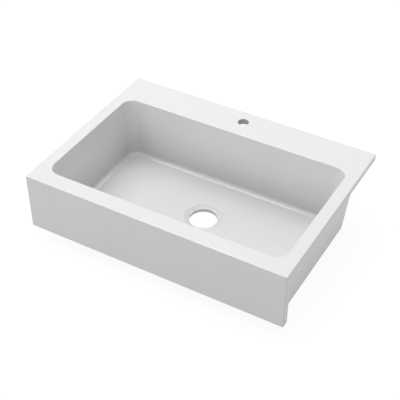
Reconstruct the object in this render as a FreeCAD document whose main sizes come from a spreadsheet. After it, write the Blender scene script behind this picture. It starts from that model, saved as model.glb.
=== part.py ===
import FreeCAD, Part
import math
import os
import Sketcher

# Apron front kitchen sink with a single bowl and a tap ledge, in millimetres.
# X runs to the right, Y to the back, Z up. The origin is under the middle of the sink, on the plane
# that the flat bottom of the bowl stands on.
#
# The body is heavy castings that are joined on one level, the underside of the deck. The deck lies on
# the bowl's walls. The apron hangs below the deck's front edge and is tied to the bowl by webs.

doc = FreeCAD.newDocument("ApronSink")

# ---------------------------------------------------------------- driving dimensions

SIZES = [
    # whole sink
    ("overall_width", 860),
    ("overall_depth", 618),
    ("overall_height", 225),
    # deck slab
    ("deck_thickness", 19.5),
    ("deck_corner_radius", 2.5),
    ("deck_arris_radius", 1.5),
    # rim left round the opening, measured on the deck's top face
    ("side_rim_width", 38.5),
    ("front_rim_width", 54.5),
    ("tap_ledge_width", 118.5),
    ("opening_corner_radius", 40),
    ("opening_arris_radius", 2.5),
    # tap hole in the back ledge
    ("tap_hole_diameter", 35),
    ("tap_hole_from_back", 51.5),
    ("tap_hole_arris_radius", 1),
    # bowl walls, which lean in towards the bottom by the same angle inside and outside
    ("wall_draft", 4.8),
    ("wall_thickness", 19.5),
    ("bowl_corner_radius", 8),
    ("bowl_foot_radius", 6),
    # bowl floor: a cove all round, then a gentle fall to the drain
    ("floor_cove_radius", 16),
    ("floor_margin", 2),
    ("floor_fall", 5),
    # drain: a dished recess for the flange of a strainer, round a straight hole
    ("drain_diameter", 90),
    ("drain_behind_middle", 35),
    ("drain_floor_thickness", 12),
    ("drain_seat_width", 4),
    ("recess_flank_width", 13),
    ("recess_depth", 8),
    ("recess_rim_radius", 6),
    ("drain_arris_radius", 1.5),
    # apron panel, which ends above the bottom of the bowl
    ("bowl_below_apron", 33),
    ("apron_thickness", 25),
    ("apron_arris_radius", 1.5),
    # webs between the apron and the bowl
    ("web_count", 4),
    ("web_thickness", 12),
    ("web_height", 70),
    ("web_from_bowl_side", 36),
    # seal strips, midway under the rim that overhangs the bowl
    ("seal_width", 10),
    ("seal_thickness", 3),
    ("seal_from_apron", 2),
]

sheet = doc.addObject("Spreadsheet::Sheet", "Sizes")
for row, (alias, value) in enumerate(SIZES, start=1):
    sheet.set("A%d" % row, alias)
    sheet.set("B%d" % row, str(value))
    sheet.setAlias("B%d" % row, alias)
doc.recompute()

# Places worked out from the driving dimensions, as expressions. Each alias stands between spaces.
DECK_TOP = "overall_height"
DECK_UNDERSIDE = "( overall_height - deck_thickness )"
FLOOR_LOW = "( drain_floor_thickness + recess_depth )"
FLOOR_EDGE = "( drain_floor_thickness + recess_depth + floor_fall )"
BASIN_DEPTH = "( overall_height - " + FLOOR_EDGE + " )"
OPENING_WIDTH = "( overall_width - 2 * side_rim_width )"
OPENING_DEPTH = "( overall_depth - front_rim_width - tap_ledge_width )"
OPENING_Y = "( front_rim_width / 2 - tap_ledge_width / 2 )"
TAP_HOLE_Y = "( overall_depth / 2 - tap_hole_from_back )"
DRAIN_Y = "( " + OPENING_Y + " + drain_behind_middle )"
SEAT_RADIUS = "( drain_diameter / 2 + drain_seat_width )"
RECESS_RADIUS = "( " + SEAT_RADIUS + " + recess_flank_width )"
APRON_BACK_Y = "( apron_thickness - overall_depth / 2 )"
LEAN = "tan( wall_draft )"
DECK_LEAN = "( deck_thickness * " + LEAN + " )"
BASIN_LEAN = "( " + BASIN_DEPTH + " * " + LEAN + " )"
OVERHANG = "( side_rim_width - wall_thickness + " + DECK_LEAN + " )"


def linked(expression):
    """The expression with each alias in it pointing at its cell."""
    aliases = [alias for alias, _ in SIZES]
    words = expression.split()
    return " ".join("<<Sizes>>." + word if word in aliases else word for word in words)


def value(expression):
    """The expression's value as a plain number."""
    return float(sheet.evalExpression(linked(expression)))


def bind(target, path, expression):
    target.setExpression(path, linked(expression))


# ---------------------------------------------------------------- sketches and features


def new_body(label):
    body = doc.addObject("PartDesign::Body", label)
    body.Label = label
    return body


def new_sketch(body, name, role, across="0", along="0", off="0"):
    """A sketch on one of the body's origin planes, its own origin moved by the three offsets."""
    plane = [item for item in body.Origin.OriginFeatures if item.Role == role][0]
    sketch = body.newObject("Sketcher::SketchObject", name)
    sketch.AttachmentSupport = [(plane, "")]
    sketch.MapMode = "FlatFace"
    bind(sketch, "AttachmentOffset.Base.x", across)
    bind(sketch, "AttachmentOffset.Base.y", along)
    bind(sketch, "AttachmentOffset.Base.z", off)
    return sketch


def measure(sketch, constraint, expression):
    """Add a dimension to the sketch and bind it."""
    index = sketch.addConstraint(constraint)
    bind(sketch, "Constraints[%d]" % index, expression)


def join_ends(sketch, lines):
    """Make a closed outline of lines that follow one another."""
    for this, following in zip(lines, lines[1:] + lines[:1]):
        sketch.addConstraint(Sketcher.Constraint("Coincident", this, 2, following, 1))


def add_lines(sketch, corners):
    """Straight lines from corner to corner, back to the first."""
    points = [FreeCAD.Vector(x, y, 0) for x, y in corners]
    ends = points[1:] + points[:1]
    lines = [sketch.addGeometry(Part.LineSegment(a, b), False) for a, b in zip(points, ends)]
    join_ends(sketch, lines)
    return lines


def rectangle(body, name, width, depth, middle_y, level):
    """A horizontal rectangle centred on X = 0 and on middle_y."""
    sketch = new_sketch(body, name, "XY_Plane", along=middle_y, off=level)
    x = value(width) / 2
    y = value(depth) / 2
    front, right, back, left = add_lines(sketch, [(-x, -y), (x, -y), (x, y), (-x, y)])
    sketch.addConstraint(Sketcher.Constraint("Horizontal", front))
    sketch.addConstraint(Sketcher.Constraint("Horizontal", back))
    sketch.addConstraint(Sketcher.Constraint("Vertical", right))
    sketch.addConstraint(Sketcher.Constraint("Vertical", left))
    sketch.addConstraint(Sketcher.Constraint("Symmetric", front, 1, back, 1, -1, 1))
    measure(sketch, Sketcher.Constraint("DistanceX", front, 1, front, 2, 2 * x), width)
    measure(sketch, Sketcher.Constraint("DistanceY", right, 1, right, 2, 2 * y), depth)
    return sketch


def circle(body, name, diameter, middle_y, level):
    """A horizontal circle centred on X = 0 and on middle_y."""
    sketch = new_sketch(body, name, "XY_Plane", along=middle_y, off=level)
    up = FreeCAD.Vector(0, 0, 1)
    radius = value(diameter) / 2
    ring = sketch.addGeometry(Part.Circle(FreeCAD.Vector(0, 0, 0), up, radius), False)
    sketch.addConstraint(Sketcher.Constraint("Coincident", ring, 3, -1, 1))
    measure(sketch, Sketcher.Constraint("Diameter", ring, 2 * radius), diameter)
    return sketch


def pad(body, name, sketch, length, downward=False, draft="0"):
    feature = body.newObject("PartDesign::Pad", name)
    feature.Profile = sketch
    feature.Reversed = downward
    bind(feature, "Length", length)
    bind(feature, "TaperAngle", draft)
    doc.recompute()
    return feature


def cut(body, feature):
    """Work out a feature that takes material away, and stop if it takes none."""
    before = feature.BaseFeature.Shape.Volume
    doc.recompute()
    if feature.Shape.Volume >= before:
        raise RuntimeError(feature.Name + " cuts nothing out of " + body.Label)


def pocket(body, name, sketch, depth, draft="0"):
    """Cut downward from the sketch."""
    feature = body.newObject("PartDesign::Pocket", name)
    feature.Profile = sketch
    bind(feature, "Length", depth)
    bind(feature, "TaperAngle", draft)
    cut(body, feature)


def edge_names(shape, wanted):
    """Names of the edges whose bounding box passes the test."""
    return ["Edge%d" % number for number, edge in enumerate(shape.Edges, start=1) if wanted(edge.BoundBox)]


def fillet(body, name, radius, wanted):
    """Round the edges of the body so far that pass the test."""
    base = body.Tip
    feature = body.newObject("PartDesign::Fillet", name)
    feature.Base = (base, edge_names(base.Shape, wanted))
    bind(feature, "Radius", radius)
    doc.recompute()
    return feature


def rounded_rectangle(body, name, width, depth, corner, middle_y, level):
    """A horizontal rectangle with round corners, centred on X = 0 and on middle_y."""
    sketch = new_sketch(body, name, "XY_Plane", along=middle_y, off=level)
    up = FreeCAD.Vector(0, 0, 1)
    x = value(width) / 2
    y = value(depth) / 2
    r = value(corner)
    starts = [(r - x, -y), (x, r - y), (x - r, y), (-x, y - r)]
    stops = [(x - r, -y), (x, y - r), (r - x, y), (-x, r - y)]
    centres = [(x - r, r - y), (x - r, y - r), (r - x, y - r), (r - x, r - y)]
    sides = []
    bends = []
    for turn in range(4):
        side = Part.LineSegment(FreeCAD.Vector(*starts[turn], 0), FreeCAD.Vector(*stops[turn], 0))
        sides.append(sketch.addGeometry(side, False))
        whole = Part.Circle(FreeCAD.Vector(*centres[turn], 0), up, r)
        quarter = Part.ArcOfCircle(whole, math.radians(90 * turn - 90), math.radians(90 * turn))
        bends.append(sketch.addGeometry(quarter, False))
    for turn in range(4):
        sketch.addConstraint(Sketcher.Constraint("Tangent", sides[turn], 2, bends[turn], 1))
        sketch.addConstraint(Sketcher.Constraint("Tangent", bends[turn], 2, sides[(turn + 1) % 4], 1))
    front, right, back, left = sides
    sketch.addConstraint(Sketcher.Constraint("Horizontal", front))
    sketch.addConstraint(Sketcher.Constraint("Horizontal", back))
    sketch.addConstraint(Sketcher.Constraint("Vertical", right))
    for bend in bends[1:]:
        sketch.addConstraint(Sketcher.Constraint("Equal", bends[0], bend))
    sketch.addConstraint(Sketcher.Constraint("Symmetric", front, 1, back, 1, -1, 1))
    measure(sketch, Sketcher.Constraint("Radius", bends[0], r), corner)
    measure(sketch, Sketcher.Constraint("DistanceX", left, 1, right, 1, 2 * x), width)
    measure(sketch, Sketcher.Constraint("DistanceY", front, 1, back, 1, 2 * y), depth)
    return sketch


# ---------------------------------------------------------------- tests that pick edges

NEAR = 0.01


def climbs(box, bottom, top):
    """True for an edge that climbs all the way from bottom to top."""
    return abs(box.ZMin - bottom) < NEAR and abs(box.ZMax - top) < NEAR


def level_at(box, height):
    """True for an edge that lies at one height."""
    return abs(box.ZMin - height) < NEAR and abs(box.ZMax - height) < NEAR


def inside(box, width, front, back):
    """True for an edge that lies over a rectangle centred on X = 0."""
    reach = max(abs(box.XMin), abs(box.XMax))
    return reach < width / 2 + NEAR and box.YMin > front - NEAR and box.YMax < back + NEAR


# ---------------------------------------------------------------- deck


def make_deck():
    """The flat slab, with the bowl opening and one tap hole in the wide ledge behind it."""
    body = new_body("deck")
    top = value(DECK_TOP)
    underside = value(DECK_UNDERSIDE)
    front = value("front_rim_width - overall_depth / 2")
    back = value("overall_depth / 2 - tap_ledge_width")

    def in_opening(box):
        return inside(box, value(OPENING_WIDTH), front, back)

    def on_tap_hole(box):
        return inside(box, value("tap_hole_diameter"), back, value("overall_depth") / 2)

    outline = rectangle(body, "SlabOutline", "overall_width", "overall_depth", "0", DECK_UNDERSIDE)
    pad(body, "Slab", outline, "deck_thickness")
    fillet(body, "SlabCorners", "deck_corner_radius", lambda box: climbs(box, underside, top))
    fillet(body, "SlabArris", "deck_arris_radius", lambda box: level_at(box, top))

    opening = rectangle(body, "OpeningOutline", OPENING_WIDTH, OPENING_DEPTH, OPENING_Y, DECK_TOP)
    pocket(body, "Opening", opening, "deck_thickness", draft="0 - wall_draft")
    corner = "opening_corner_radius"
    fillet(body, "OpeningCorners", corner, lambda box: climbs(box, underside, top) and in_opening(box))
    arris = "opening_arris_radius"
    fillet(body, "OpeningArris", arris, lambda box: level_at(box, top) and in_opening(box))

    hole = circle(body, "TapHoleOutline", "tap_hole_diameter", TAP_HOLE_Y, DECK_TOP)
    pocket(body, "TapHole", hole, "deck_thickness")
    rim = "tap_hole_arris_radius"
    fillet(body, "TapHoleArris", rim, lambda box: level_at(box, top) and on_tap_hole(box))
    return body


# ---------------------------------------------------------------- bowl


def make_bowl():
    """The deep tub under the opening, its walls in line with the opening's leaning edge."""
    body = new_body("bowl")
    top = value(DECK_UNDERSIDE)
    floor = value(FLOOR_EDGE)

    shell_width = "( " + OPENING_WIDTH + " + 2 * wall_thickness - 2 * " + DECK_LEAN + " )"
    shell_depth = "( " + OPENING_DEPTH + " + 2 * wall_thickness - 2 * " + DECK_LEAN + " )"
    shell = rectangle(body, "ShellOutline", shell_width, shell_depth, OPENING_Y, DECK_UNDERSIDE)
    pad(body, "Shell", shell, DECK_UNDERSIDE, downward=True, draft="0 - wall_draft")
    fillet(body, "ShellCorners", "bowl_corner_radius", lambda box: climbs(box, 0, top))
    fillet(body, "ShellFoot", "bowl_foot_radius", lambda box: level_at(box, 0))

    mouth_width = "( " + OPENING_WIDTH + " - 2 * " + DECK_LEAN + " )"
    mouth_depth = "( " + OPENING_DEPTH + " - 2 * " + DECK_LEAN + " )"
    mouth = rectangle(body, "MouthOutline", mouth_width, mouth_depth, OPENING_Y, DECK_UNDERSIDE)
    pocket(body, "Basin", mouth, BASIN_DEPTH + " - deck_thickness", draft="0 - wall_draft")
    fillet(body, "BasinCorners", "opening_corner_radius", lambda box: climbs(box, floor, top))
    fillet(body, "FloorCove", "floor_cove_radius", lambda box: level_at(box, floor))

    make_floor_fall(body)
    make_drain(body)
    return body


def make_floor_fall(body):
    """The floor sinks from the foot of the cove to a narrow level ring round the drain recess."""
    inset = "( " + BASIN_LEAN + " + floor_cove_radius + floor_margin )"
    width = "( " + OPENING_WIDTH + " - 2 * " + inset + " )"
    depth = "( " + OPENING_DEPTH + " - 2 * " + inset + " )"
    corner = "( opening_corner_radius - floor_cove_radius - floor_margin )"
    edge = rounded_rectangle(body, "FallEdge", width, depth, corner, OPENING_Y, FLOOR_EDGE)
    ring = "( 2 * " + RECESS_RADIUS + " + 4 * floor_margin )"
    ring_corner = "( " + RECESS_RADIUS + " + floor_margin )"
    foot = rounded_rectangle(body, "FallFoot", ring, ring, ring_corner, DRAIN_Y, FLOOR_LOW)
    fall = body.newObject("PartDesign::SubtractiveLoft", "FloorFall")
    fall.Profile = edge
    fall.Sections = [foot]
    fall.Ruled = True
    cut(body, fall)


def make_drain(body):
    """A dished recess round a straight hole through the floor."""
    across_hole = "( 0 - " + DRAIN_Y + " )"
    profile = new_sketch(body, "RecessProfile", "XZ_Plane", along="drain_floor_thickness", off=across_hole)
    foot = value(SEAT_RADIUS)
    reach = value(RECESS_RADIUS)
    top = value("recess_depth")
    seat, flank, mouth, axis = add_lines(profile, [(0, 0), (foot, 0), (reach, top), (0, top)])
    profile.addConstraint(Sketcher.Constraint("Coincident", seat, 1, -1, 1))
    profile.addConstraint(Sketcher.Constraint("Horizontal", seat))
    profile.addConstraint(Sketcher.Constraint("Horizontal", mouth))
    profile.addConstraint(Sketcher.Constraint("Vertical", axis))
    measure(profile, Sketcher.Constraint("DistanceX", seat, 1, seat, 2, foot), SEAT_RADIUS)
    measure(profile, Sketcher.Constraint("DistanceX", mouth, 2, mouth, 1, reach), RECESS_RADIUS)
    measure(profile, Sketcher.Constraint("DistanceY", seat, 1, mouth, 2, top), "recess_depth")
    recess = body.newObject("PartDesign::Groove", "DrainRecess")
    recess.Profile = profile
    recess.ReferenceAxis = (profile, ["V_Axis"])
    recess.Angle = 360
    cut(body, recess)
    hole = circle(body, "DrainOutline", "drain_diameter", DRAIN_Y, "drain_floor_thickness")
    pocket(body, "DrainHole", hole, "drain_floor_thickness")

    def on_ring(box, radius, height):
        reach = value(radius)
        middle_y = value(DRAIN_Y)
        return level_at(box, value(height)) and inside(box, 2 * reach, middle_y - reach, middle_y + reach)

    fillet(body, "RecessRim", "recess_rim_radius", lambda box: on_ring(box, RECESS_RADIUS, FLOOR_LOW))
    hole_radius = "drain_diameter / 2"
    seat_level = "drain_floor_thickness"
    fillet(body, "DrainArris", "drain_arris_radius", lambda box: on_ring(box, hole_radius, seat_level))


# ---------------------------------------------------------------- apron and the webs behind it


def make_apron():
    """The front panel, as wide as the deck and flush with its front and its ends."""
    body = new_body("apron")
    top = value(DECK_UNDERSIDE)
    bottom = value("bowl_below_apron")
    back = value(APRON_BACK_Y)
    middle = "( apron_thickness / 2 - overall_depth / 2 )"
    outline = rectangle(body, "PanelOutline", "overall_width", "apron_thickness", middle, DECK_UNDERSIDE)
    pad(body, "Panel", outline, DECK_UNDERSIDE + " - bowl_below_apron", downward=True)

    def upright(box, behind):
        return climbs(box, bottom, top) and (box.YMin > back - NEAR) == behind

    fillet(body, "PanelCorners", "deck_corner_radius", lambda box: upright(box, behind=False))
    fillet(body, "PanelHeels", "apron_arris_radius", lambda box: upright(box, behind=True))
    fillet(body, "PanelFoot", "apron_arris_radius", lambda box: level_at(box, bottom))
    return body


def make_web(index):
    """An upright web that fills the wedge between the apron and the bowl's leaning front wall."""
    body = new_body("apron_web_%d" % (index + 1))
    gap = "( front_rim_width - wall_thickness + " + DECK_LEAN + " - apron_thickness )"
    spread = "( web_height * " + LEAN + " )"
    profile = new_sketch(body, "WebProfile", "YZ_Plane", across=APRON_BACK_Y, along=DECK_UNDERSIDE)
    near = value(gap)
    far = near + value(spread)
    drop = value("web_height")
    top, slope, foot, upright = add_lines(profile, [(0, 0), (near, 0), (far, -drop), (0, -drop)])
    profile.addConstraint(Sketcher.Constraint("Coincident", top, 1, -1, 1))
    profile.addConstraint(Sketcher.Constraint("Horizontal", top))
    profile.addConstraint(Sketcher.Constraint("Horizontal", foot))
    profile.addConstraint(Sketcher.Constraint("Vertical", upright))
    measure(profile, Sketcher.Constraint("DistanceX", top, 1, top, 2, near), gap)
    measure(profile, Sketcher.Constraint("DistanceX", foot, 2, foot, 1, far), gap + " + " + spread)
    measure(profile, Sketcher.Constraint("DistanceY", foot, 2, top, 1, drop), "web_height")
    web = pad(body, "Web", profile, "web_thickness")
    web.Midplane = True
    first = "( web_from_bowl_side - " + OPENING_WIDTH + " / 2 - wall_thickness )"
    bind(body, "Placement.Base.x", first + " * ( 1 - 2 * %d / ( web_count - 1 ) )" % index)
    return body


# ---------------------------------------------------------------- seal strips


def make_strip(label, width, depth, x, y):
    """A flat strip stuck to the underside of the deck, with its least X and Y given."""
    strip = doc.addObject("Part::Box", label)
    strip.Label = label
    bind(strip, "Length", width)
    bind(strip, "Width", depth)
    bind(strip, "Height", "seal_thickness")
    bind(strip, "Placement.Base.x", x)
    bind(strip, "Placement.Base.y", y)
    bind(strip, "Placement.Base.z", DECK_UNDERSIDE + " - seal_thickness")
    return strip


def make_seals():
    """Three strips under the overhanging rim: two along the ends and one between them at the back."""
    inset = "( " + OVERHANG + " / 2 - seal_width / 2 )"
    run = "( overall_depth - apron_thickness - seal_from_apron - " + inset + " )"
    start = APRON_BACK_Y + " + seal_from_apron"
    end = "( overall_width / 2 - " + inset + " )"
    left = make_strip("rim_seal_left", "seal_width", run, "0 - " + end, start)
    right = make_strip("rim_seal_right", "seal_width", run, end + " - seal_width", start)
    reach = "( " + end + " - seal_width )"
    back_start = "overall_depth / 2 - " + inset + " - seal_width"
    back = make_strip("rim_seal_back", "2 * " + reach, "seal_width", "0 - " + reach, back_start)
    return [left, right, back]


# ---------------------------------------------------------------- build, check and write


def check(pieces):
    """Stop before anything is written if a feature failed or a piece isn't sound."""
    for item in doc.Objects:
        if "Invalid" in item.State or "Error" in item.State:
            raise RuntimeError("%s is %s" % (item.Name, item.State))
    for piece in pieces:
        if piece.Shape.isNull() or not piece.Shape.isValid():
            raise RuntimeError(piece.Label + " has no sound shape")


pieces = [make_deck(), make_bowl(), make_apron()]
pieces += [make_web(index) for index in range(int(value("web_count")))]
pieces += make_seals()
doc.recompute()
check(pieces)

os.makedirs("parts", exist_ok=True)
for piece in pieces:
    piece.Shape.exportStep("parts/%s.step" % piece.Label)
    print(piece.Label, len(piece.Shape.Solids), "solid, volume", round(piece.Shape.Volume))
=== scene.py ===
import bmesh
import bpy
import math
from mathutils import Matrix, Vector


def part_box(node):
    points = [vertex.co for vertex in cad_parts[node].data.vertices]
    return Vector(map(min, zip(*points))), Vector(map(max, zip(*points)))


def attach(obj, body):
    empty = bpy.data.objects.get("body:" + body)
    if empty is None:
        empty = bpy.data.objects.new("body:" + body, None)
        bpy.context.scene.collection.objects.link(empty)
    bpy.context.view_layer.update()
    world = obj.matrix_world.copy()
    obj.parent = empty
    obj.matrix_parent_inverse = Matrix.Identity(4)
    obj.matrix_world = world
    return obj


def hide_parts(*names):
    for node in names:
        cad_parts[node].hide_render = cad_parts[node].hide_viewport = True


# Apron front kitchen sink in white glazed fireclay, with a single bowl and a tap ledge.
# Lengths are in metres, and each size in millimetres is written as a number times MM.

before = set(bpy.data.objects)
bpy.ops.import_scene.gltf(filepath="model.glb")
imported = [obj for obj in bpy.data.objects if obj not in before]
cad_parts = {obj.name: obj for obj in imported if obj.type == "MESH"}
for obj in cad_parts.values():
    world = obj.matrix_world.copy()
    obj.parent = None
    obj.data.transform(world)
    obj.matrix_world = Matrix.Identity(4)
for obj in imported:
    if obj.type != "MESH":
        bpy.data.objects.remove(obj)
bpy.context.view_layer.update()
bpy.context.scene.view_settings.view_transform = "Standard"


# ---------------------------------------------------------------- camera
# The photograph looks down on the sink from the front right, through a long lens. The camera's place and
# turn come from a fit to the straight edges and corners in it.

CAMERA_PLACE = Vector((1.1109, -1.9563, 1.9647))
CAMERA_ROUND = math.radians(29.97)
CAMERA_DOWN = math.radians(41.19)

camera_data = bpy.data.cameras.new("camera")
camera_data.sensor_width = 36
camera_data.lens = 85.1
camera_data.shift_x = 0.0043
camera_data.shift_y = 0.0562
camera = bpy.data.objects.new("camera", camera_data)
camera.location = CAMERA_PLACE
camera.rotation_euler = (math.pi / 2 - CAMERA_DOWN, 0, CAMERA_ROUND)
bpy.context.collection.objects.link(camera)
bpy.context.scene.camera = camera


# ---------------------------------------------------------------- floor and surroundings
# A white paper floor under a white studio. What the camera and the glaze see of both is plain white,
# and what lights the sink is greyer, as in a room where most of the light comes from above.

MM = 0.001
FLOOR_DROP = 0.5 * MM
FLOOR_REACH = 4.0
FLOOR_GLOW = 0.92
ROOM_GLOW = 0.47


def linear(colour):
    """The linear values of an sRGB hex colour, with full alpha."""
    shares = [int(colour[place:place + 2], 16) / 255 for place in (1, 3, 5)]
    values = [share / 12.92 if share <= 0.04045 else ((share + 0.055) / 1.055) ** 2.4 for share in shares]
    return (*values, 1.0)


def add_node(tree, kind, settings={}, inputs={}):
    """Add a node, set its settings, and set each input or link it where a socket is given.

    A Mix node repeats its names, so its two colours are inputs 6 and 7, and the mixed colour is output 2.
    """
    node = tree.nodes.new(kind)
    for name, value in settings.items():
        setattr(node, name, value)
    for name, value in inputs.items():
        if isinstance(value, bpy.types.NodeSocket):
            tree.links.new(value, node.inputs[name])
        else:
            node.inputs[name].default_value = value
    return node


def seen_directly(tree):
    """1 for rays from the camera and for reflected and refracted rays, 0 for soft light."""
    path = add_node(tree, "ShaderNodeLightPath")
    either = add_node(tree, "ShaderNodeMath", {"operation": "MAXIMUM"},
                      {0: path.outputs["Is Camera Ray"], 1: path.outputs["Is Glossy Ray"]})
    any_of = add_node(tree, "ShaderNodeMath", {"operation": "MAXIMUM"},
                      {0: either.outputs[0], 1: path.outputs["Is Transmission Ray"]})
    return any_of.outputs[0]


def paper_floor():
    """White paper that keeps a faint shadow, greyer to soft light, and clear when seen from below."""
    material = bpy.data.materials.new("white_paper")
    material.use_nodes = True
    tree = material.node_tree
    tree.nodes.clear()
    lit = add_node(tree, "ShaderNodeBsdfDiffuse", {}, {"Color": linear("#B0B0B0")})
    sheet = add_node(tree, "ShaderNodeBsdfDiffuse", {}, {"Color": linear("#5A5A5A")})
    glow = add_node(tree, "ShaderNodeEmission", {}, {"Color": linear("#FFFFFF"), "Strength": FLOOR_GLOW})
    white = add_node(tree, "ShaderNodeAddShader", {}, {0: sheet.outputs[0], 1: glow.outputs[0]})
    top = add_node(tree, "ShaderNodeMixShader", {},
                   {0: seen_directly(tree), 1: lit.outputs[0], 2: white.outputs[0]})
    clear = add_node(tree, "ShaderNodeBsdfTransparent")
    side = add_node(tree, "ShaderNodeNewGeometry")
    both = add_node(tree, "ShaderNodeMixShader", {},
                    {0: side.outputs["Backfacing"], 1: top.outputs[0], 2: clear.outputs[0]})
    add_node(tree, "ShaderNodeOutputMaterial", {}, {"Surface": both.outputs[0]})
    return material


floor_shape = bmesh.new()
bmesh.ops.create_grid(floor_shape, x_segments=1, y_segments=1, size=FLOOR_REACH)
bmesh.ops.translate(floor_shape, vec=(0, 0, -FLOOR_DROP), verts=floor_shape.verts)
floor_mesh = bpy.data.meshes.new("floor")
floor_shape.to_mesh(floor_mesh)
floor_shape.free()
floor_mesh.materials.append(paper_floor())
floor = bpy.data.objects.new("floor", floor_mesh)
bpy.context.collection.objects.link(floor)

world = bpy.data.worlds.new("studio")
world.use_nodes = True
world.node_tree.nodes.clear()
room = add_node(world.node_tree, "ShaderNodeBackground", {},
                {"Color": linear("#FFFFFF"), "Strength": ROOM_GLOW})
white = add_node(world.node_tree, "ShaderNodeBackground", {},
                 {"Color": linear("#FFFFFF"), "Strength": 1.0})
surround = add_node(world.node_tree, "ShaderNodeMixShader", {},
                    {0: seen_directly(world.node_tree), 1: room.outputs[0], 2: white.outputs[0]})
add_node(world.node_tree, "ShaderNodeOutputWorld", {}, {"Surface": surround.outputs[0]})
bpy.context.scene.world = world


# ---------------------------------------------------------------- lamps
# Five large soft boxes: one overhead, three high up, on the left, behind the back left corner and behind
# the sink, and a tall one at the front, a little to the left, which lights the apron. The glow of their
# cloth fades towards the edges, so that the glaze shows no hard edge of them.

LIGHT_AIM = Vector((0, 0, 0.1))


def soft_box(name, place, width, depth, power, fade):
    """A rectangular lamp that is turned to the sink.

    Its glow is even in the middle and fades to nothing at the edge. Fade is the share of the way out from
    the middle over which it does so.
    """
    light = bpy.data.lights.new(name, "AREA")
    light.shape = "RECTANGLE"
    light.size = width
    light.size_y = depth
    light.energy = power
    light.use_nodes = True
    tree = light.node_tree
    tree.nodes.clear()
    cloth = add_node(tree, "ShaderNodeNewGeometry")
    centred = add_node(tree, "ShaderNodeMapping", {},
                       {"Vector": cloth.outputs["Parametric"],
                        "Location": (-1, -1, 0), "Scale": (2, 2, 0)})
    outward = add_node(tree, "ShaderNodeVectorMath", {"operation": "ABSOLUTE"}, {0: centred.outputs[0]})
    across = add_node(tree, "ShaderNodeSeparateXYZ", {}, {"Vector": outward.outputs[0]})
    farther = add_node(tree, "ShaderNodeMath", {"operation": "MAXIMUM"},
                       {0: across.outputs["X"], 1: across.outputs["Y"]})
    glow = add_node(tree, "ShaderNodeMapRange", {"interpolation_type": "SMOOTHSTEP"},
                    {"Value": farther.outputs[0], "From Min": 1.0, "From Max": 1 - fade})
    lit = add_node(tree, "ShaderNodeEmission", {}, {"Strength": glow.outputs["Result"]})
    add_node(tree, "ShaderNodeOutputLight", {}, {"Surface": lit.outputs[0]})
    lamp = bpy.data.objects.new(name, light)
    lamp.location = place
    lamp.rotation_euler = (LIGHT_AIM - Vector(place)).to_track_quat("-Z", "Y").to_euler()
    bpy.context.collection.objects.link(lamp)


soft_box("soft_box_top", (0, 0, 6), width=5, depth=5, power=112, fade=0.5)
soft_box("soft_box_left", (-2.8, 0.1, 5.2), width=1.2, depth=3.2, power=82, fade=0.15)
soft_box("soft_box_corner", (-2.1, 2.1, 5.3), width=2.8, depth=2.8, power=78, fade=0.15)
soft_box("soft_box_back", (0.6, 2.8, 5.2), width=2.8, depth=2.8, power=56, fade=0.15)
soft_box("soft_box_front", (-1.1, -4.4, 1.8), width=4.2, depth=3.6, power=101, fade=0.5)


# ---------------------------------------------------------------- deck
# The flat top slab of the sink, with the bowl's opening and one tap hole in the wide ledge behind it.
# It is cast in fireclay and stuck to the bowl and the apron before the firing, so one skin of white
# gloss glaze runs over the joints and rounds every edge a little.

DECK_LOW, DECK_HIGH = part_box("deck")
DECK_UNDERSIDE = DECK_LOW.z
DECK_TOP = DECK_HIGH.z
SLAB_CORNER = 2.5 * MM
SLAB_ARRIS = 1.5 * MM
OPENING_WIDTH = 783 * MM
OPENING_DEPTH = 445 * MM
OPENING_Y = -32 * MM
OPENING_CORNER = 40 * MM
OPENING_ARRIS = 2.5 * MM
WALL_LEAN = math.tan(math.radians(4.8))
TAP_HOLE_RADIUS = 17.5 * MM
TAP_HOLE_INSET = 51.5 * MM
TAP_HOLE_Y = DECK_HIGH.y - TAP_HOLE_INSET
TAP_HOLE_ARRIS = 1 * MM
EDGE_BORDER = 5 * MM
LIFT = 1.0
SHARP = math.radians(35)
DRILLED = 1

# A circle has as many edges as an outline with four round corners, so that they join one to one.
CORNER_STEPS = 16
RING_STEPS = 4 * (CORNER_STEPS + 1)

# The bowl's colour carries painted shade: its walls go from a lit tone at one height to a shaded tone at
# another, darker towards the foot, and a surface that faces up is kept a set share of the way to the lit
# tone, as painted light from above. How far the surface's normal points up tells STEEP from FLAT.
FULLY_LIT_HEIGHT = 170 * MM
DARKEST_SHADE_HEIGHT = 0
STEEP = 0.2
FLAT = 0.9
UP_FACING_LIT_SHARE = 0.72

# The scores of the core drill are drawn coarser than real ones, so that they show. A wave texture turns
# by 20 radians on each unit of its scaled coordinate.
SCORE_PITCH = 1 * MM
WAVE_TURN = 20


def outline(shape, width, depth, corner, y, z):
    """The edges of a level rectangle with round corners, centred on x = 0."""
    made = bmesh.ops.create_grid(shape, x_segments=1, y_segments=1, size=0.5)["verts"]
    bmesh.ops.scale(shape, vec=(width, depth, 1), verts=made)
    bmesh.ops.translate(shape, vec=(0, y, z), verts=made)
    rounded = bmesh.ops.bevel(shape, geom=made, offset=corner, offset_type="OFFSET", affect="VERTICES",
                              segments=CORNER_STEPS, profile=0.5, material=-1)
    plate = rounded["verts"][0].link_faces[0]
    edges = list(plate.edges)
    bmesh.ops.delete(shape, geom=[plate], context="FACES_ONLY")
    return edges


def ring(shape, radius, y, z):
    """The edges of a level circle, centred on x = 0."""
    made = bmesh.ops.create_circle(shape, segments=RING_STEPS, radius=radius)["verts"]
    bmesh.ops.translate(shape, vec=(0, y, z), verts=made)
    return list({edge for vert in made for edge in vert.link_edges})


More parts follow.
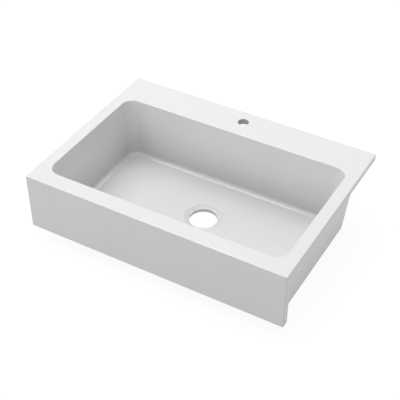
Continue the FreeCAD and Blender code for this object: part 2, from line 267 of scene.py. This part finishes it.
def join_loops(shape, loops):
    """Make a band of faces between each loop of edges and the next, and return the bands.

    The first loop of a pair is lifted while they are joined, because two loops on one level twist.
    """
    bands = []
    for one, following in zip(loops, loops[1:]):
        corners = list({vert for edge in one for vert in edge.verts})
        bmesh.ops.translate(shape, vec=(0, 0, LIFT), verts=corners)
        bands.append(bmesh.ops.bridge_loops(shape, edges=one + following)["faces"])
        bmesh.ops.translate(shape, vec=(0, 0, -LIFT), verts=corners)
    return bands


def round_off(shape, edges, radius, fold=math.pi / 2, steps=4):
    """Round the edges to a radius, where the surface folds by an angle."""
    bmesh.ops.bevel(shape, geom=edges, offset=radius * math.tan(fold / 2), offset_type="OFFSET",
                    affect="EDGES", segments=steps, profile=0.5, material=-1, clamp_overlap=False)


def glaze(name, lit_tone, shaded_tone):
    """Opaque white gloss glaze, fired on: glassy and a little uneven, with a faint orange peel.

    Its colour carries painted shade: it goes from the lit tone high up to the shaded tone at the foot of a
    wall, and a surface that faces up keeps most of the lit tone, as painted light from above. Where the
    two tones are the same, no shade is painted.
    """
    material = bpy.data.materials.new(name)
    material.use_nodes = True
    tree = material.node_tree
    tree.nodes.clear()
    coordinates = add_node(tree, "ShaderNodeTexCoord")
    place = coordinates.outputs["Object"]
    height = add_node(tree, "ShaderNodeSeparateXYZ", {}, {"Vector": place})
    # Painted shade: darker low down on the walls, and lighter where the surface faces up, as if lit from
    # above.
    lit_by_height = add_node(tree, "ShaderNodeMapRange", {"interpolation_type": "SMOOTHSTEP"},
                    {"Value": height.outputs["Z"],
                     "From Min": DARKEST_SHADE_HEIGHT, "From Max": FULLY_LIT_HEIGHT})
    facing = add_node(tree, "ShaderNodeSeparateXYZ", {}, {"Vector": coordinates.outputs["Normal"]})
    lit_by_facing = add_node(tree, "ShaderNodeMapRange", {"interpolation_type": "SMOOTHSTEP"},
                       {"Value": facing.outputs["Z"],
                        "From Min": STEEP, "From Max": FLAT, "To Max": UP_FACING_LIT_SHARE})
    painted_light_share = add_node(tree, "ShaderNodeMath", {"operation": "MAXIMUM"},
                    {0: lit_by_height.outputs["Result"], 1: lit_by_facing.outputs["Result"]})
    shade = add_node(tree, "ShaderNodeMix", {"data_type": "RGBA"},
                     {0: painted_light_share.outputs[0], 6: linear(shaded_tone), 7: linear(lit_tone)})
    cloud = add_node(tree, "ShaderNodeTexNoise", {},
                     {"Vector": place, "Scale": 1 / (90 * MM), "Detail": 3.0})
    haze = add_node(tree, "ShaderNodeMix", {"data_type": "RGBA"},
                    {0: cloud.outputs["Fac"], 6: linear("#FAFAFA"), 7: linear("#FFFFFF")})
    tint = add_node(tree, "ShaderNodeMix", {"data_type": "RGBA", "blend_type": "MULTIPLY"},
                    {0: 1.0, 6: shade.outputs[2], 7: haze.outputs[2]})
    sheen = add_node(tree, "ShaderNodeTexNoise", {},
                     {"Vector": place, "Scale": 1 / (35 * MM), "Detail": 4.0})
    polish = add_node(tree, "ShaderNodeMapRange", {},
                      {"Value": sheen.outputs["Fac"], "To Min": 0.05, "To Max": 0.09})
    flow = add_node(tree, "ShaderNodeTexNoise", {},
                    {"Vector": place, "Scale": 1 / (120 * MM), "Detail": 1.0})
    sway = add_node(tree, "ShaderNodeBump", {}, {"Height": flow.outputs["Fac"], "Distance": 0.4 * MM})
    peel = add_node(tree, "ShaderNodeTexNoise", {},
                    {"Vector": place, "Scale": 1 / (4 * MM), "Detail": 1.0})
    skin = add_node(tree, "ShaderNodeBump", {},
                    {"Height": peel.outputs["Fac"], "Distance": 0.006 * MM,
                     "Normal": sway.outputs["Normal"]})
    surface = add_node(tree, "ShaderNodeBsdfPrincipled", {},
                       {"Base Color": tint.outputs[2], "Roughness": polish.outputs["Result"],
                        "IOR": 1.5, "Normal": skin.outputs["Normal"]})
    add_node(tree, "ShaderNodeOutputMaterial", {}, {"Surface": surface.outputs[0]})
    return material


def drilled_clay():
    """Bare fireclay, core-drilled after the firing: matt and pale grey, with fine level scores."""
    material = bpy.data.materials.new("drilled_fireclay")
    material.use_nodes = True
    tree = material.node_tree
    tree.nodes.clear()
    place = add_node(tree, "ShaderNodeTexCoord").outputs["Object"]
    dust = add_node(tree, "ShaderNodeTexNoise", {},
                    {"Vector": place, "Scale": 1 / (5 * MM), "Detail": 4.0})
    colour = add_node(tree, "ShaderNodeMix", {"data_type": "RGBA"},
                      {0: dust.outputs["Fac"], 6: linear("#BFBFBD"), 7: linear("#CDCDCB")})
    score = add_node(tree, "ShaderNodeTexWave", {"bands_direction": "Z"},
                     {"Vector": place, "Scale": math.tau / (WAVE_TURN * SCORE_PITCH),
                      "Distortion": 2.0})
    lines = add_node(tree, "ShaderNodeBump", {}, {"Height": score.outputs["Fac"], "Distance": 0.05 * MM})
    surface = add_node(tree, "ShaderNodeBsdfPrincipled", {},
                       {"Base Color": colour.outputs[2], "Roughness": 0.8, "IOR": 1.5,
                        "Normal": lines.outputs["Normal"]})
    add_node(tree, "ShaderNodeOutputMaterial", {}, {"Surface": surface.outputs[0]})
    return material


GLAZE = glaze("white_fired_glaze", "#E0E0E0", "#E0E0E0")


def make_piece(name, shape, node, materials):
    """Turn the shape into a piece that stands for a node of the model.

    A face has the first of the materials, unless its material_index says another place in the list.
    """
    bmesh.ops.recalc_face_normals(shape, faces=shape.faces)
    for face in shape.faces:
        face.smooth = True
    mesh = bpy.data.meshes.new(name)
    shape.to_mesh(mesh)
    shape.free()
    mesh.set_sharp_from_angle(angle=SHARP)
    for material in materials:
        mesh.materials.append(material)
    piece = bpy.data.objects.new(name, mesh)
    bpy.context.collection.objects.link(piece)
    even = piece.modifiers.new("even_shading", "WEIGHTED_NORMAL")
    even.keep_sharp = True
    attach(piece, "root")
    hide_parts(node)


deck = bmesh.new()
slab_width = DECK_HIGH.x - DECK_LOW.x
slab_depth = DECK_HIGH.y - DECK_LOW.y
slab_foot = outline(deck, slab_width, slab_depth, SLAB_CORNER, 0, DECK_UNDERSIDE)
slab_rim = outline(deck, slab_width, slab_depth, SLAB_CORNER, 0, DECK_TOP)
slab_border = outline(deck, slab_width - 2 * EDGE_BORDER, slab_depth - 2 * EDGE_BORDER,
                      SLAB_CORNER - SLAB_ARRIS, 0, DECK_TOP)
join_loops(deck, [slab_foot, slab_rim, slab_border])
round_off(deck, slab_rim, SLAB_ARRIS)

deck_lean = 2 * (DECK_TOP - DECK_UNDERSIDE) * WALL_LEAN
mouth_border = outline(deck, OPENING_WIDTH + 2 * EDGE_BORDER, OPENING_DEPTH + 2 * EDGE_BORDER,
                       OPENING_CORNER + EDGE_BORDER, OPENING_Y, DECK_TOP)
mouth_rim = outline(deck, OPENING_WIDTH, OPENING_DEPTH, OPENING_CORNER, OPENING_Y, DECK_TOP)
mouth_foot = outline(deck, OPENING_WIDTH - deck_lean, OPENING_DEPTH - deck_lean, OPENING_CORNER,
                     OPENING_Y, DECK_UNDERSIDE)
join_loops(deck, [mouth_border, mouth_rim, mouth_foot])
round_off(deck, mouth_rim, OPENING_ARRIS)

hole_border = ring(deck, TAP_HOLE_RADIUS + EDGE_BORDER, TAP_HOLE_Y, DECK_TOP)
hole_rim = ring(deck, TAP_HOLE_RADIUS, TAP_HOLE_Y, DECK_TOP)
hole_foot = ring(deck, TAP_HOLE_RADIUS, TAP_HOLE_Y, DECK_UNDERSIDE)
join_loops(deck, [hole_border, hole_rim])
bore = join_loops(deck, [hole_rim, hole_foot])[0]
for face in bore:
    face.material_index = DRILLED
round_off(deck, hole_rim, TAP_HOLE_ARRIS)

bmesh.ops.triangle_fill(deck, use_beauty=True, edges=slab_border + mouth_border + hole_border)
bmesh.ops.triangle_fill(deck, use_beauty=True, edges=slab_foot + mouth_foot + hole_foot)
make_piece("sink_deck", deck, "deck", [GLAZE, drilled_clay()])


# ---------------------------------------------------------------- bowl
# The deep tub under the deck, cast in the same fireclay and glazed with it. Its walls lean in a little,
# a round cove leads to the floor, and the floor falls to a dished seat for the strainer round the drain
# hole. The flat bottom is wiped clean of glaze, because it stands on the kiln shelf.

WALL_THICKNESS = 19.5 * MM
SHELL_CORNER = 8 * MM
SHELL_FOOT = 6 * MM
JOINT_FILLET = 3 * MM
JOINT_STEPS = 4
FLOOR_EDGE = 25 * MM
FLOOR_LOW = 20 * MM
FLOOR_COVE = 16 * MM
FLOOR_MARGIN = 2 * MM
FLOOR_FOLD = math.pi / 2 - math.atan(WALL_LEAN)
DRAIN_Y = 3 * MM
DRAIN_RADIUS = 45 * MM
DRAIN_ARRIS = 3 * MM
SEAT_RADIUS = 49 * MM
SEAT_LEVEL = 12 * MM
SEAT_HEEL = 3 * MM
RECESS_RADIUS = 62 * MM
RECESS_RIM = 6 * MM
FALL_CUTS = 6
BARE_HEIGHT = 1 * MM
BARE = 1
SHADE_FREE_GLAZE = 2


def bare_clay():
    """Fired clay without glaze: warm off-white, chalky and sandy, with fine dark grog in it."""
    material = bpy.data.materials.new("unglazed_fireclay")
    material.use_nodes = True
    tree = material.node_tree
    tree.nodes.clear()
    place = add_node(tree, "ShaderNodeTexCoord").outputs["Object"]
    stain = add_node(tree, "ShaderNodeTexNoise", {},
                     {"Vector": place, "Scale": 1 / (50 * MM), "Detail": 5.0})
    body = add_node(tree, "ShaderNodeMix", {"data_type": "RGBA"},
                    {0: stain.outputs["Fac"], 6: linear("#CFC6B6"), 7: linear("#DDD6C9")})
    grog = add_node(tree, "ShaderNodeTexVoronoi", {}, {"Vector": place, "Scale": 1 / (3 * MM)})
    speck = add_node(tree, "ShaderNodeMapRange", {},
                     {"Value": grog.outputs["Distance"], "From Min": 0.08, "From Max": 0.16})
    flecked = add_node(tree, "ShaderNodeMix", {"data_type": "RGBA"},
                       {0: speck.outputs["Result"], 6: linear("#A69A88"), 7: body.outputs[2]})
    sand = add_node(tree, "ShaderNodeTexNoise", {},
                    {"Vector": place, "Scale": 1 / (1.5 * MM), "Detail": 3.0})
    grain = add_node(tree, "ShaderNodeBump", {}, {"Height": sand.outputs["Fac"], "Distance": 0.15 * MM})
    surface = add_node(tree, "ShaderNodeBsdfPrincipled", {},
                       {"Base Color": flecked.outputs[2], "Roughness": 0.85, "IOR": 1.5,
                        "Normal": grain.outputs["Normal"]})
    add_node(tree, "ShaderNodeOutputMaterial", {}, {"Surface": surface.outputs[0]})
    return material


def wall_outline(shape, out, corner, z):
    """The outline of a wall that leans with the opening's, at a height, and out from the opening's."""
    grow = 2 * (out - (DECK_TOP - z) * WALL_LEAN)
    return outline(shape, OPENING_WIDTH + grow, OPENING_DEPTH + grow, corner, OPENING_Y, z)


bowl = bmesh.new()
basin_rim = wall_outline(bowl, 0, OPENING_CORNER, DECK_UNDERSIDE)
basin_foot = wall_outline(bowl, 0, OPENING_CORNER, FLOOR_EDGE)
fall_inset = FLOOR_COVE + FLOOR_MARGIN
fall_edge = wall_outline(bowl, -fall_inset, OPENING_CORNER - fall_inset, FLOOR_EDGE)
fall_foot = ring(bowl, RECESS_RADIUS + 2 * FLOOR_MARGIN, DRAIN_Y, FLOOR_LOW)
recess_rim = ring(bowl, RECESS_RADIUS, DRAIN_Y, FLOOR_LOW)
seat_heel = ring(bowl, SEAT_RADIUS, DRAIN_Y, SEAT_LEVEL)
drain_rim = ring(bowl, DRAIN_RADIUS, DRAIN_Y, SEAT_LEVEL)
drain_foot = ring(bowl, DRAIN_RADIUS, DRAIN_Y, 0)
shell_foot = wall_outline(bowl, WALL_THICKNESS, SHELL_CORNER, 0)
shell = [shell_foot]
for step in range(JOINT_STEPS + 1):
    bend = math.pi / 2 * step / JOINT_STEPS
    rise = JOINT_FILLET * (1 - math.sin(bend))
    flare = JOINT_FILLET * (1 - math.cos(bend))
    shell.append(wall_outline(bowl, WALL_THICKNESS + flare, SHELL_CORNER + flare, DECK_UNDERSIDE - rise))
join_loops(bowl, [basin_rim, basin_foot, fall_edge])
fall = join_loops(bowl, [fall_edge, fall_foot])[0]
join_loops(bowl, [fall_foot, recess_rim, seat_heel, drain_rim])
drain_wall = join_loops(bowl, [drain_rim, drain_foot])[0]
join_loops(bowl, [drain_foot, *shell, basin_rim])

# The drain hole's wall takes the plain glaze, without the tub's painted shade.
for face in drain_wall:
    face.material_index = SHADE_FREE_GLAZE

# The long faces of the floor's fall are cut across, so that they shade evenly.
ends = set(fall_edge + fall_foot)
slopes = list({edge for face in fall for edge in face.edges} - ends)
bmesh.ops.subdivide_edgering(bowl, edges=slopes, interp_mode="LINEAR", smooth=1.0, cuts=FALL_CUTS,
                             profile_shape="LINEAR", profile_shape_factor=0)
flank_fold = math.atan2(FLOOR_LOW - SEAT_LEVEL, RECESS_RADIUS - SEAT_RADIUS)
round_off(bowl, basin_foot, FLOOR_COVE, FLOOR_FOLD, steps=10)
round_off(bowl, recess_rim, RECESS_RIM, flank_fold)
round_off(bowl, seat_heel, SEAT_HEEL, flank_fold)
round_off(bowl, drain_rim, DRAIN_ARRIS)
round_off(bowl, shell_foot, SHELL_FOOT, FLOOR_FOLD)
for face in bowl.faces:
    if max(vert.co.z for vert in face.verts) < BARE_HEIGHT:
        face.material_index = BARE
# The tub's glaze carries painted shade: darker towards the foot of its walls, lighter where it faces up.
TUB_GLAZE_PAINTED_SHADE = glaze("white_fired_tub_glaze_painted_shade", "#E0E0E0", "#C8C8C8")
make_piece("sink_bowl", bowl, "bowl", [TUB_GLAZE_PAINTED_SHADE, bare_clay(), GLAZE])


# ---------------------------------------------------------------- apron
# The front panel, which stays in sight below the worktop. It is a solid slab of the same fireclay, flush
# with the deck above it, to which it is stuck before the glaze is fired.

HEEL_ROUND = 1.5 * MM
TOUCH = 0.5 * MM


def block(shape, low, high):
    """A box between two corners."""
    made = bmesh.ops.create_cube(shape, size=1)["verts"]
    bmesh.ops.scale(shape, vec=high - low, verts=made)
    bmesh.ops.translate(shape, vec=(low + high) / 2, verts=made)


def edges_between(shape, low, high):
    """The edges whose middle lies between two corners."""
    found = []
    for edge in shape.edges:
        middle = (edge.verts[0].co + edge.verts[1].co) / 2
        if all(low[axis] - TOUCH < middle[axis] < high[axis] + TOUCH for axis in range(3)):
            found.append(edge)
    return found


APRON_LOW, APRON_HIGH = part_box("apron")
apron = bmesh.new()
block(apron, APRON_LOW, APRON_HIGH)
left, front, low = APRON_LOW
right, back, high = APRON_HIGH
middle_z = (low + high) / 2
front_uprights = edges_between(apron, (left, front, middle_z), (right, front, middle_z))
back_uprights = edges_between(apron, (left, back, middle_z), (right, back, middle_z))
round_off(apron, front_uprights, SLAB_CORNER, steps=CORNER_STEPS)
round_off(apron, back_uprights, HEEL_ROUND)
bottom = edges_between(apron, APRON_LOW, (right, back, low))
round_off(apron, bottom, HEEL_ROUND)
make_piece("sink_apron", apron, "apron", [GLAZE])


# ---------------------------------------------------------------- webs
# Four short upright webs of fireclay that tie the apron to the leaning front wall of the bowl. They end
# high up, so that the front rail of the cabinet can stand behind the apron.

WEB_ROUND = 2 * MM

for number in (1, 2, 3, 4):
    web_low, web_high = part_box("apron_web_%d" % number)
    web = bmesh.new()
    block(web, web_low, web_high)
    top_back = edges_between(web, (web_low.x, web_high.y, web_high.z), web_high)
    lean = (web_high.z - web_low.z) * WALL_LEAN
    corners = list({vert for edge in top_back for vert in edge.verts})
    bmesh.ops.translate(web, vec=(0, -lean, 0), verts=corners)
    middle_y = (web_low.y + web_high.y) / 2
    foot_sides = edges_between(web, (web_low.x, middle_y, web_low.z), (web_high.x, middle_y, web_low.z))
    round_off(web, foot_sides, WEB_ROUND)
    make_piece("sink_web_%d" % number, web, "apron_web_%d" % number, [GLAZE])


# ---------------------------------------------------------------- rim seals
# Self-adhesive strips of black closed-cell foam under the rim that overhangs the bowl, which seal the
# sink to the worktop. They are cut square and die-pressed, so only their lower edges are a little soft.

SEAL_ROUND = 0.6 * MM


def foam():
    """Closed-cell rubber foam: matt and charcoal black, pitted all over with cells under a millimetre."""
    material = bpy.data.materials.new("closed_cell_foam")
    material.use_nodes = True
    tree = material.node_tree
    tree.nodes.clear()
    place = add_node(tree, "ShaderNodeTexCoord").outputs["Object"]
    cells = add_node(tree, "ShaderNodeTexVoronoi", {}, {"Vector": place, "Scale": 1 / (0.9 * MM)})
    colour = add_node(tree, "ShaderNodeMix", {"data_type": "RGBA"},
                      {0: cells.outputs["Distance"], 6: linear("#1D1D1F"), 7: linear("#343437")})
    pits = add_node(tree, "ShaderNodeBump", {},
                    {"Height": cells.outputs["Distance"], "Distance": 0.2 * MM})
    surface = add_node(tree, "ShaderNodeBsdfPrincipled", {},
                       {"Base Color": colour.outputs[2], "Roughness": 0.9, "IOR": 1.5,
                        "Normal": pits.outputs["Normal"]})
    add_node(tree, "ShaderNodeOutputMaterial", {}, {"Surface": surface.outputs[0]})
    return material


FOAM = foam()
for side in ("left", "right", "back"):
    seal_low, seal_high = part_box("rim_seal_" + side)
    seal = bmesh.new()
    block(seal, seal_low, seal_high)
    lower = edges_between(seal, seal_low, (seal_high.x, seal_high.y, seal_low.z))
    round_off(seal, lower, SEAL_ROUND, steps=2)
    make_piece("seal_strip_" + side, seal, "rim_seal_" + side, [FOAM])
